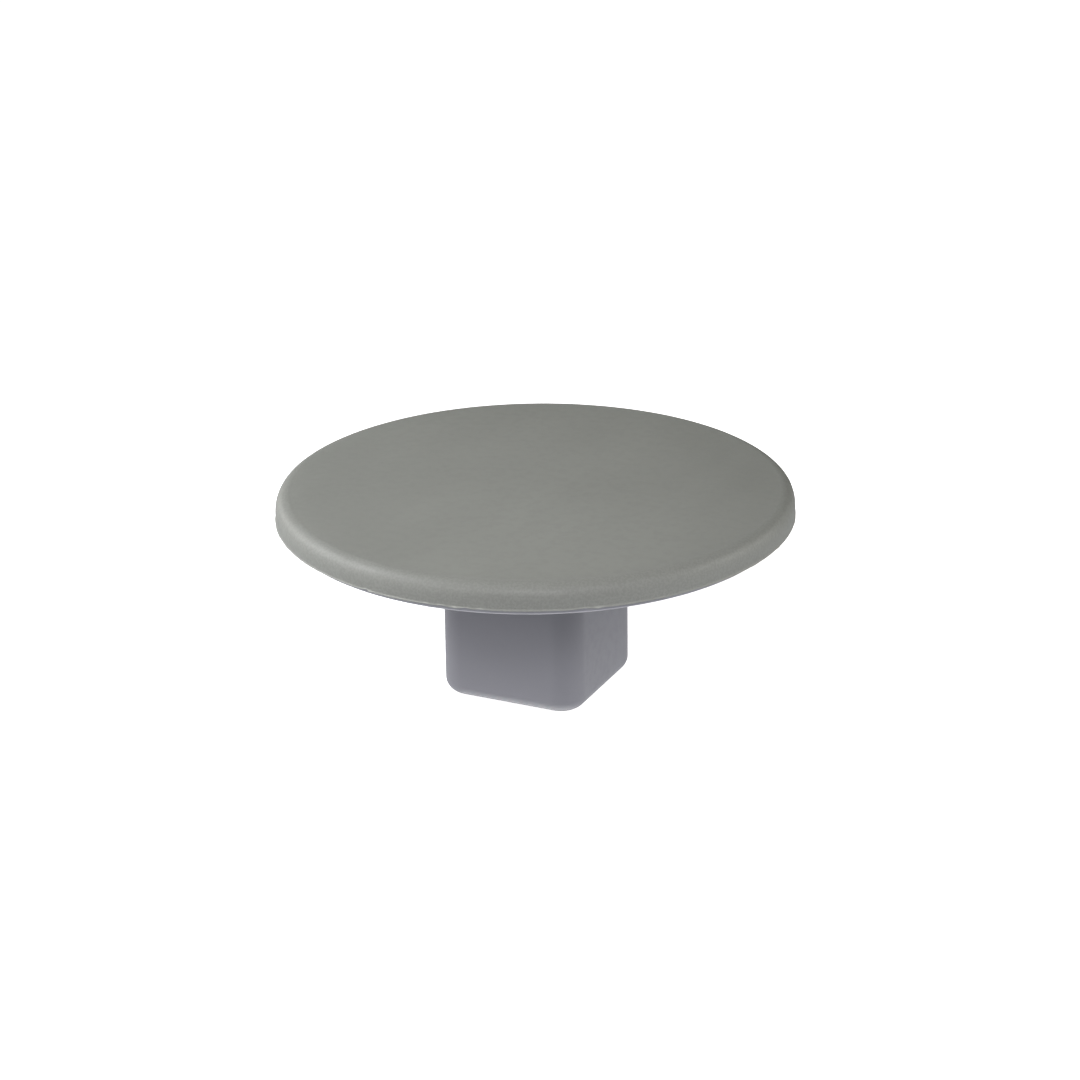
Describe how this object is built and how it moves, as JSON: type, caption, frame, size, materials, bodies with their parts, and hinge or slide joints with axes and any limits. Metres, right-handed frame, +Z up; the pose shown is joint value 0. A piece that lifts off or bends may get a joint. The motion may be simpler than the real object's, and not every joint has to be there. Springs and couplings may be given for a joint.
{
  "type": "ground socket cover",
  "caption": "Round grey plastic disc with a soft shoulder on a deep square plug, which closes a square socket set in the ground.",
  "frame": {"origin": "on the square plug's axis, in the plane of the disc's flat underside, which is ground level in use", "axes": "+Z up through the middle of the disc; the plug's flat sides face along X and Y"},
  "size_m": [0.2408, 0.2408, 0.0975],
  "materials": {
    "cap_plastic": "satin moulded grey, slightly green",
    "base_plastic": "satin moulded grey, slightly violet",
    "plug_plastic": "satin moulded grey, slightly violet",
    "insert_brass": "turned, threaded inside",
    "screw_steel": "stainless, plain",
    "frame_steel": "galvanised",
    "seal_rubber": "matte black cord",
    "gasket_foam": "matte black closed-cell foam"
  },
  "bodies": {
    "root": {"cover_cap": "cap_plastic", "cap_inserts": "insert_brass", "cord_seal": "seal_rubber", "base_plate": "base_plastic", "cap_screws": "screw_steel", "plug_box": "plug_plastic", "clamp_frame": "frame_steel", "flange_screws": "screw_steel", "seat_gasket": "gasket_foam"}
  },
  "joints": []
}
